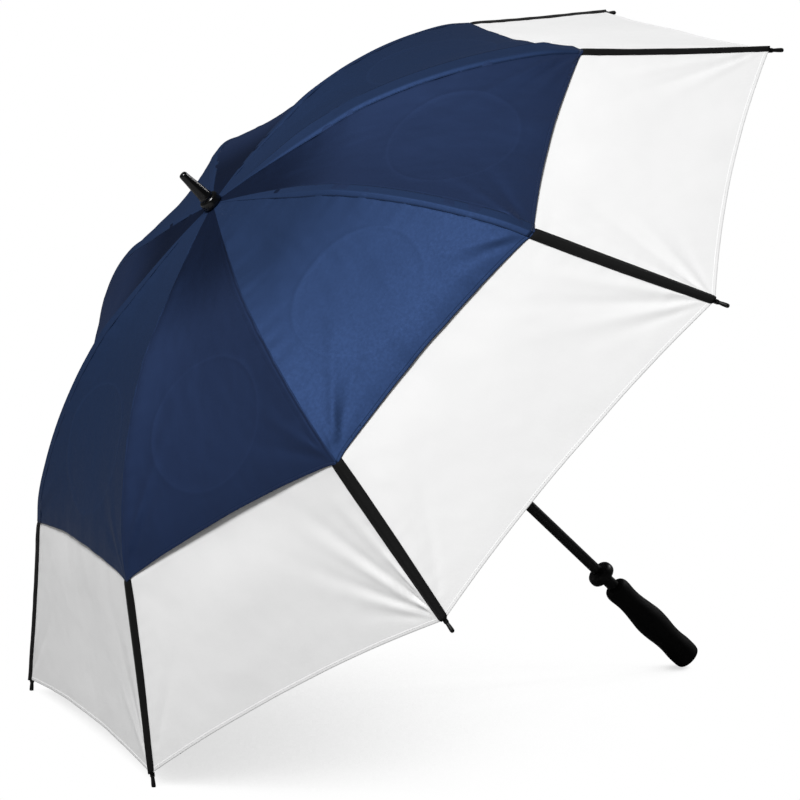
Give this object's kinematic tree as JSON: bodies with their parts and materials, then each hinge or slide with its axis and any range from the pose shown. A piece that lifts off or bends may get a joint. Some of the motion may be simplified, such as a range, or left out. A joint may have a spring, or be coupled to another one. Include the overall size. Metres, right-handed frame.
{
  "type": "golf umbrella",
  "caption": "Open stick umbrella with a domed two-layer vented canopy on hinged ribs and stretchers, straight shaft with runner, and a contoured grip.",
  "frame": {"origin": "centre of the flat bottom face of the grip", "axes": "+Z along the shaft towards the ferrule; rib 1 lies over +X, the others follow every 45 degrees"},
  "size_m": [1.304, 1.304, 0.9882],
  "materials": {
    "fabric_blue": "navy coated pongee, fine plain weave, soft sheen",
    "fabric_white": "white coated pongee, fine plain weave",
    "fibreglass": "pultruded black fibreglass rod, satin",
    "black_plastic": "moulded black plastic",
    "gloss_black": "polished black plastic",
    "grip_rubber": "soft-touch black rubber",
    "shaft_black": "satin black coating",
    "steel": "plated spring wire and plate"
  },
  "bodies": {
    "root": {"shaft": "shaft_black", "ferrule": "gloss_black", "top_collar": "gloss_black", "top_notch": "black_plastic", "notch_wire": "steel", "hand_guard": "black_plastic", "grip": "grip_rubber"},
    "catch_top": {"catch_top": "steel"},
    "catch_bottom": {"catch_bottom": "steel"},
    "runner": {"runner": "black_plastic", "runner_wire": "steel"},
    "rib_inner_1": {"rib_inner_1": "fibreglass"},
    "rib_outer_1": {"rib_outer_1": "fibreglass", "tip_1": "black_plastic"},
    "stretcher_1": {"stretcher_1": "fibreglass"},
    "canopy_upper_1": {"upper_panel_1": "fabric_blue"},
    "canopy_lower_1": {"lower_panel_1": "fabric_white"},
    "rib_inner_2": {"rib_inner_2": "fibreglass"},
    "rib_outer_2": {"rib_outer_2": "fibreglass", "tip_2": "black_plastic"},
    "stretcher_2": {"stretcher_2": "fibreglass"},
    "canopy_upper_2": {"upper_panel_2": "fabric_blue"},
    "canopy_lower_2": {"lower_panel_2": "fabric_white"},
    "rib_inner_3": {"rib_inner_3": "fibreglass"},
    "rib_outer_3": {"rib_outer_3": "fibreglass", "tip_3": "black_plastic"},
    "stretcher_3": {"stretcher_3": "fibreglass"},
    "canopy_upper_3": {"upper_panel_3": "fabric_blue"},
    "canopy_lower_3": {"lower_panel_3": "fabric_white"},
    "rib_inner_4": {"rib_inner_4": "fibreglass"},
    "rib_outer_4": {"rib_outer_4": "fibreglass", "tip_4": "black_plastic"},
    "stretcher_4": {"stretcher_4": "fibreglass"},
    "canopy_upper_4": {"upper_panel_4": "fabric_blue"},
    "canopy_lower_4": {"lower_panel_4": "fabric_white"},
    "rib_inner_5": {"rib_inner_5": "fibreglass"},
    "rib_outer_5": {"rib_outer_5": "fibreglass", "tip_5": "black_plastic"},
    "stretcher_5": {"stretcher_5": "fibreglass"},
    "canopy_upper_5": {"upper_panel_5": "fabric_blue"},
    "canopy_lower_5": {"lower_panel_5": "fabric_white"},
    "rib_inner_6": {"rib_inner_6": "fibreglass"},
    "rib_outer_6": {"rib_outer_6": "fibreglass", "tip_6": "black_plastic"},
    "stretcher_6": {"stretcher_6": "fibreglass"},
    "canopy_upper_6": {"upper_panel_6": "fabric_blue"},
    "canopy_lower_6": {"lower_panel_6": "fabric_white"},
    "rib_inner_7": {"rib_inner_7": "fibreglass"},
    "rib_outer_7": {"rib_outer_7": "fibreglass", "tip_7": "black_plastic"},
    "stretcher_7": {"stretcher_7": "fibreglass"},
    "canopy_upper_7": {"upper_panel_7": "fabric_blue"},
    "canopy_lower_7": {"lower_panel_7": "fabric_white"},
    "rib_inner_8": {"rib_inner_8": "fibreglass"},
    "rib_outer_8": {"rib_outer_8": "fibreglass", "tip_8": "black_plastic"},
    "stretcher_8": {"stretcher_8": "fibreglass"},
    "canopy_upper_8": {"upper_panel_8": "fabric_blue"},
    "canopy_lower_8": {"lower_panel_8": "fabric_white"}
  },
  "joints": [
    {"name": "canopy_fold", "type": "hinge", "parent": "root", "child": "rib_inner_1", "pos_m": [0.0115, 0, 0.9226], "axis": [0, 1, 0], "range_deg": [0, 76]},
    {"name": "rib_flex_1", "type": "hinge", "parent": "rib_inner_1", "child": "rib_outer_1", "pos_m": [0.32985, 0, 0.85227], "axis": [0, 1, 0], "range_deg": [-27, 0]},
    {"name": "stretcher_swing_1", "type": "hinge", "parent": "rib_inner_1", "child": "stretcher_1", "pos_m": [0.31759, 0, 0.85077], "axis": [0, 1, 0], "range_deg": [-152.1, 0]},
    {"name": "upper_gore_fold_1", "type": "hinge", "parent": "root", "child": "canopy_upper_1", "pos_m": [0.00982, 0.00407, 0.9226], "axis": [-0.3827, 0.9239, 0], "range_deg": [0, 76.1], "deforming": ["upper_panel_1"]},
    {"name": "lower_gore_fold_1", "type": "hinge", "parent": "canopy_upper_1", "child": "canopy_lower_1", "pos_m": [0.28338, 0.11738, 0.855], "axis": [-0.3827, 0.9239, 0], "range_deg": [-30.5, 0], "deforming": ["lower_panel_1"]},
    {"name": "rib_fold_2", "type": "hinge", "parent": "root", "child": "rib_inner_2", "pos_m": [0.00813, 0.00813, 0.9226], "axis": [-0.7071, 0.7071, 0], "range_deg": [0, 76]},
    {"name": "rib_flex_2", "type": "hinge", "parent": "rib_inner_2", "child": "rib_outer_2", "pos_m": [0.23324, 0.23324, 0.85227], "axis": [-0.7071, 0.7071, 0], "range_deg": [-27, 0]},
    {"name": "stretcher_swing_2", "type": "hinge", "parent": "rib_inner_2", "child": "stretcher_2", "pos_m": [0.22457, 0.22457, 0.85077], "axis": [-0.7071, 0.7071, 0], "range_deg": [-152.1, 0]},
    {"name": "upper_gore_fold_2", "type": "hinge", "parent": "root", "child": "canopy_upper_2", "pos_m": [0.00407, 0.00982, 0.9226], "axis": [-0.9239, 0.3827, 0], "range_deg": [0, 76.1], "deforming": ["upper_panel_2"]},
    {"name": "lower_gore_fold_2", "type": "hinge", "parent": "canopy_upper_2", "child": "canopy_lower_2", "pos_m": [0.11738, 0.28338, 0.855], "axis": [-0.9239, 0.3827, 0], "range_deg": [-30.5, 0], "deforming": ["lower_panel_2"]},
    {"name": "rib_fold_3", "type": "hinge", "parent": "root", "child": "rib_inner_3", "pos_m": [0, 0.0115, 0.9226], "axis": [-1, 0, 0], "range_deg": [0, 76]},
    {"name": "rib_flex_3", "type": "hinge", "parent": "rib_inner_3", "child": "rib_outer_3", "pos_m": [0, 0.32985, 0.85227], "axis": [-1, 0, 0], "range_deg": [-27, 0]},
    {"name": "stretcher_swing_3", "type": "hinge", "parent": "rib_inner_3", "child": "stretcher_3", "pos_m": [0, 0.31759, 0.85077], "axis": [-1, 0, 0], "range_deg": [-152.1, 0]},
    {"name": "upper_gore_fold_3", "type": "hinge", "parent": "root", "child": "canopy_upper_3", "pos_m": [-0.00407, 0.00982, 0.9226], "axis": [-0.9239, -0.3827, 0], "range_deg": [0, 76.1], "deforming": ["upper_panel_3"]},
    {"name": "lower_gore_fold_3", "type": "hinge", "parent": "canopy_upper_3", "child": "canopy_lower_3", "pos_m": [-0.11738, 0.28338, 0.855], "axis": [-0.9239, -0.3827, 0], "range_deg": [-30.5, 0], "deforming": ["lower_panel_3"]},
    {"name": "rib_fold_4", "type": "hinge", "parent": "root", "child": "rib_inner_4", "pos_m": [-0.00813, 0.00813, 0.9226], "axis": [-0.7071, -0.7071, 0], "range_deg": [0, 76]},
    {"name": "rib_flex_4", "type": "hinge", "parent": "rib_inner_4", "child": "rib_outer_4", "pos_m": [-0.23324, 0.23324, 0.85227], "axis": [-0.7071, -0.7071, 0], "range_deg": [-27, 0]},
    {"name": "stretcher_swing_4", "type": "hinge", "parent": "rib_inner_4", "child": "stretcher_4", "pos_m": [-0.22457, 0.22457, 0.85077], "axis": [-0.7071, -0.7071, 0], "range_deg": [-152.1, 0]},
    {"name": "upper_gore_fold_4", "type": "hinge", "parent": "root", "child": "canopy_upper_4", "pos_m": [-0.00982, 0.00407, 0.9226], "axis": [-0.3827, -0.9239, 0], "range_deg": [0, 76.1], "deforming": ["upper_panel_4"]},
    {"name": "lower_gore_fold_4", "type": "hinge", "parent": "canopy_upper_4", "child": "canopy_lower_4", "pos_m": [-0.28338, 0.11738, 0.855], "axis": [-0.3827, -0.9239, 0], "range_deg": [-30.5, 0], "deforming": ["lower_panel_4"]},
    {"name": "rib_fold_5", "type": "hinge", "parent": "root", "child": "rib_inner_5", "pos_m": [-0.0115, 0, 0.9226], "axis": [0, -1, 0], "range_deg": [0, 76]},
    {"name": "rib_flex_5", "type": "hinge", "parent": "rib_inner_5", "child": "rib_outer_5", "pos_m": [-0.32985, 0, 0.85227], "axis": [0, -1, 0], "range_deg": [-27, 0]},
    {"name": "stretcher_swing_5", "type": "hinge", "parent": "rib_inner_5", "child": "stretcher_5", "pos_m": [-0.31759, 0, 0.85077], "axis": [0, -1, 0], "range_deg": [-152.1, 0]},
    {"name": "upper_gore_fold_5", "type": "hinge", "parent": "root", "child": "canopy_upper_5", "pos_m": [-0.00982, -0.00407, 0.9226], "axis": [0.3827, -0.9239, 0], "range_deg": [0, 76.1], "deforming": ["upper_panel_5"]},
    {"name": "lower_gore_fold_5", "type": "hinge", "parent": "canopy_upper_5", "child": "canopy_lower_5", "pos_m": [-0.28338, -0.11738, 0.855], "axis": [0.3827, -0.9239, 0], "range_deg": [-30.5, 0], "deforming": ["lower_panel_5"]},
    {"name": "rib_fold_6", "type": "hinge", "parent": "root", "child": "rib_inner_6", "pos_m": [-0.00813, -0.00813, 0.9226], "axis": [0.7071, -0.7071, 0], "range_deg": [0, 76]},
    {"name": "rib_flex_6", "type": "hinge", "parent": "rib_inner_6", "child": "rib_outer_6", "pos_m": [-0.23324, -0.23324, 0.85227], "axis": [0.7071, -0.7071, 0], "range_deg": [-27, 0]},
    {"name": "stretcher_swing_6", "type": "hinge", "parent": "rib_inner_6", "child": "stretcher_6", "pos_m": [-0.22457, -0.22457, 0.85077], "axis": [0.7071, -0.7071, 0], "range_deg": [-152.1, 0]},
    {"name": "upper_gore_fold_6", "type": "hinge", "parent": "root", "child": "canopy_upper_6", "pos_m": [-0.00407, -0.00982, 0.9226], "axis": [0.9239, -0.3827, 0], "range_deg": [0, 76.1], "deforming": ["upper_panel_6"]},
    {"name": "lower_gore_fold_6", "type": "hinge", "parent": "canopy_upper_6", "child": "canopy_lower_6", "pos_m": [-0.11738, -0.28338, 0.855], "axis": [0.9239, -0.3827, 0], "range_deg": [-30.5, 0], "deforming": ["lower_panel_6"]},
    {"name": "rib_fold_7", "type": "hinge", "parent": "root", "child": "rib_inner_7", "pos_m": [0, -0.0115, 0.9226], "axis": [1, 0, 0], "range_deg": [0, 76]},
    {"name": "rib_flex_7", "type": "hinge", "parent": "rib_inner_7", "child": "rib_outer_7", "pos_m": [0, -0.32985, 0.85227], "axis": [1, 0, 0], "range_deg": [-27, 0]},
    {"name": "stretcher_swing_7", "type": "hinge", "parent": "rib_inner_7", "child": "stretcher_7", "pos_m": [0, -0.31759, 0.85077], "axis": [1, 0, 0], "range_deg": [-152.1, 0]},
    {"name": "upper_gore_fold_7", "type": "hinge", "parent": "root", "child": "canopy_upper_7", "pos_m": [0.00407, -0.00982, 0.9226], "axis": [0.9239, 0.3827, 0], "range_deg": [0, 76.1], "deforming": ["upper_panel_7"]},
    {"name": "lower_gore_fold_7", "type": "hinge", "parent": "canopy_upper_7", "child": "canopy_lower_7", "pos_m": [0.11738, -0.28338, 0.855], "axis": [0.9239, 0.3827, 0], "range_deg": [-30.5, 0], "deforming": ["lower_panel_7"]},
    {"name": "rib_fold_8", "type": "hinge", "parent": "root", "child": "rib_inner_8", "pos_m": [0.00813, -0.00813, 0.9226], "axis": [0.7071, 0.7071, 0], "range_deg": [0, 76]},
    {"name": "rib_flex_8", "type": "hinge", "parent": "rib_inner_8", "child": "rib_outer_8", "pos_m": [0.23324, -0.23324, 0.85227], "axis": [0.7071, 0.7071, 0], "range_deg": [-27, 0]},
    {"name": "stretcher_swing_8", "type": "hinge", "parent": "rib_inner_8", "child": "stretcher_8", "pos_m": [0.22457, -0.22457, 0.85077], "axis": [0.7071, 0.7071, 0], "range_deg": [-152.1, 0]},
    {"name": "upper_gore_fold_8", "type": "hinge", "parent": "root", "child": "canopy_upper_8", "pos_m": [0.00982, -0.00407, 0.9226], "axis": [0.3827, 0.9239, 0], "range_deg": [0, 76.1], "deforming": ["upper_panel_8"]},
    {"name": "lower_gore_fold_8", "type": "hinge", "parent": "canopy_upper_8", "child": "canopy_lower_8", "pos_m": [0.28338, -0.11738, 0.855], "axis": [0.3827, 0.9239, 0], "range_deg": [-30.5, 0], "deforming": ["lower_panel_8"]},
    {"name": "runner_swing", "type": "hinge", "parent": "stretcher_1", "child": "runner", "pos_m": [0.0115, 0, 0.77893], "axis": [0, 1, 0], "range_deg": [0, 76.1]},
    {"name": "catch_top_press", "type": "slide", "parent": "root", "child": "catch_top", "axis": [0.9239, 0.3827, 0], "range_m": [0, 0.003]},
    {"name": "catch_bottom_press", "type": "slide", "parent": "root", "child": "catch_bottom", "axis": [0.9239, 0.3827, 0], "range_m": [0, 0.003]}
  ],
  "couplings": [
    {"joint": "rib_flex_1", "follows": "canopy_fold", "ratio": -0.354},
    {"joint": "stretcher_swing_1", "follows": "canopy_fold", "ratio": -2},
    {"joint": "upper_gore_fold_1", "follows": "canopy_fold", "ratio": 1},
    {"joint": "lower_gore_fold_1", "follows": "canopy_fold", "ratio": -0.4},
    {"joint": "rib_fold_2", "follows": "canopy_fold", "ratio": 1},
    {"joint": "rib_flex_2", "follows": "canopy_fold", "ratio": -0.354},
    {"joint": "stretcher_swing_2", "follows": "canopy_fold", "ratio": -2},
    {"joint": "upper_gore_fold_2", "follows": "canopy_fold", "ratio": 1},
    {"joint": "lower_gore_fold_2", "follows": "canopy_fold", "ratio": -0.4},
    {"joint": "rib_fold_3", "follows": "canopy_fold", "ratio": 1},
    {"joint": "rib_flex_3", "follows": "canopy_fold", "ratio": -0.354},
    {"joint": "stretcher_swing_3", "follows": "canopy_fold", "ratio": -2},
    {"joint": "upper_gore_fold_3", "follows": "canopy_fold", "ratio": 1},
    {"joint": "lower_gore_fold_3", "follows": "canopy_fold", "ratio": -0.4},
    {"joint": "rib_fold_4", "follows": "canopy_fold", "ratio": 1},
    {"joint": "rib_flex_4", "follows": "canopy_fold", "ratio": -0.354},
    {"joint": "stretcher_swing_4", "follows": "canopy_fold", "ratio": -2},
    {"joint": "upper_gore_fold_4", "follows": "canopy_fold", "ratio": 1},
    {"joint": "lower_gore_fold_4", "follows": "canopy_fold", "ratio": -0.4},
    {"joint": "rib_fold_5", "follows": "canopy_fold", "ratio": 1},
    {"joint": "rib_flex_5", "follows": "canopy_fold", "ratio": -0.354},
    {"joint": "stretcher_swing_5", "follows": "canopy_fold", "ratio": -2},
    {"joint": "upper_gore_fold_5", "follows": "canopy_fold", "ratio": 1},
    {"joint": "lower_gore_fold_5", "follows": "canopy_fold", "ratio": -0.4},
    {"joint": "rib_fold_6", "follows": "canopy_fold", "ratio": 1},
    {"joint": "rib_flex_6", "follows": "canopy_fold", "ratio": -0.354},
    {"joint": "stretcher_swing_6", "follows": "canopy_fold", "ratio": -2},
    {"joint": "upper_gore_fold_6", "follows": "canopy_fold", "ratio": 1},
    {"joint": "lower_gore_fold_6", "follows": "canopy_fold", "ratio": -0.4},
    {"joint": "rib_fold_7", "follows": "canopy_fold", "ratio": 1},
    {"joint": "rib_flex_7", "follows": "canopy_fold", "ratio": -0.354},
    {"joint": "stretcher_swing_7", "follows": "canopy_fold", "ratio": -2},
    {"joint": "upper_gore_fold_7", "follows": "canopy_fold", "ratio": 1},
    {"joint": "lower_gore_fold_7", "follows": "canopy_fold", "ratio": -0.4},
    {"joint": "rib_fold_8", "follows": "canopy_fold", "ratio": 1},
    {"joint": "rib_flex_8", "follows": "canopy_fold", "ratio": -0.354},
    {"joint": "stretcher_swing_8", "follows": "canopy_fold", "ratio": -2},
    {"joint": "upper_gore_fold_8", "follows": "canopy_fold", "ratio": 1},
    {"joint": "lower_gore_fold_8", "follows": "canopy_fold", "ratio": -0.4},
    {"joint": "runner_swing", "follows": "canopy_fold", "ratio": 1}
  ]
}
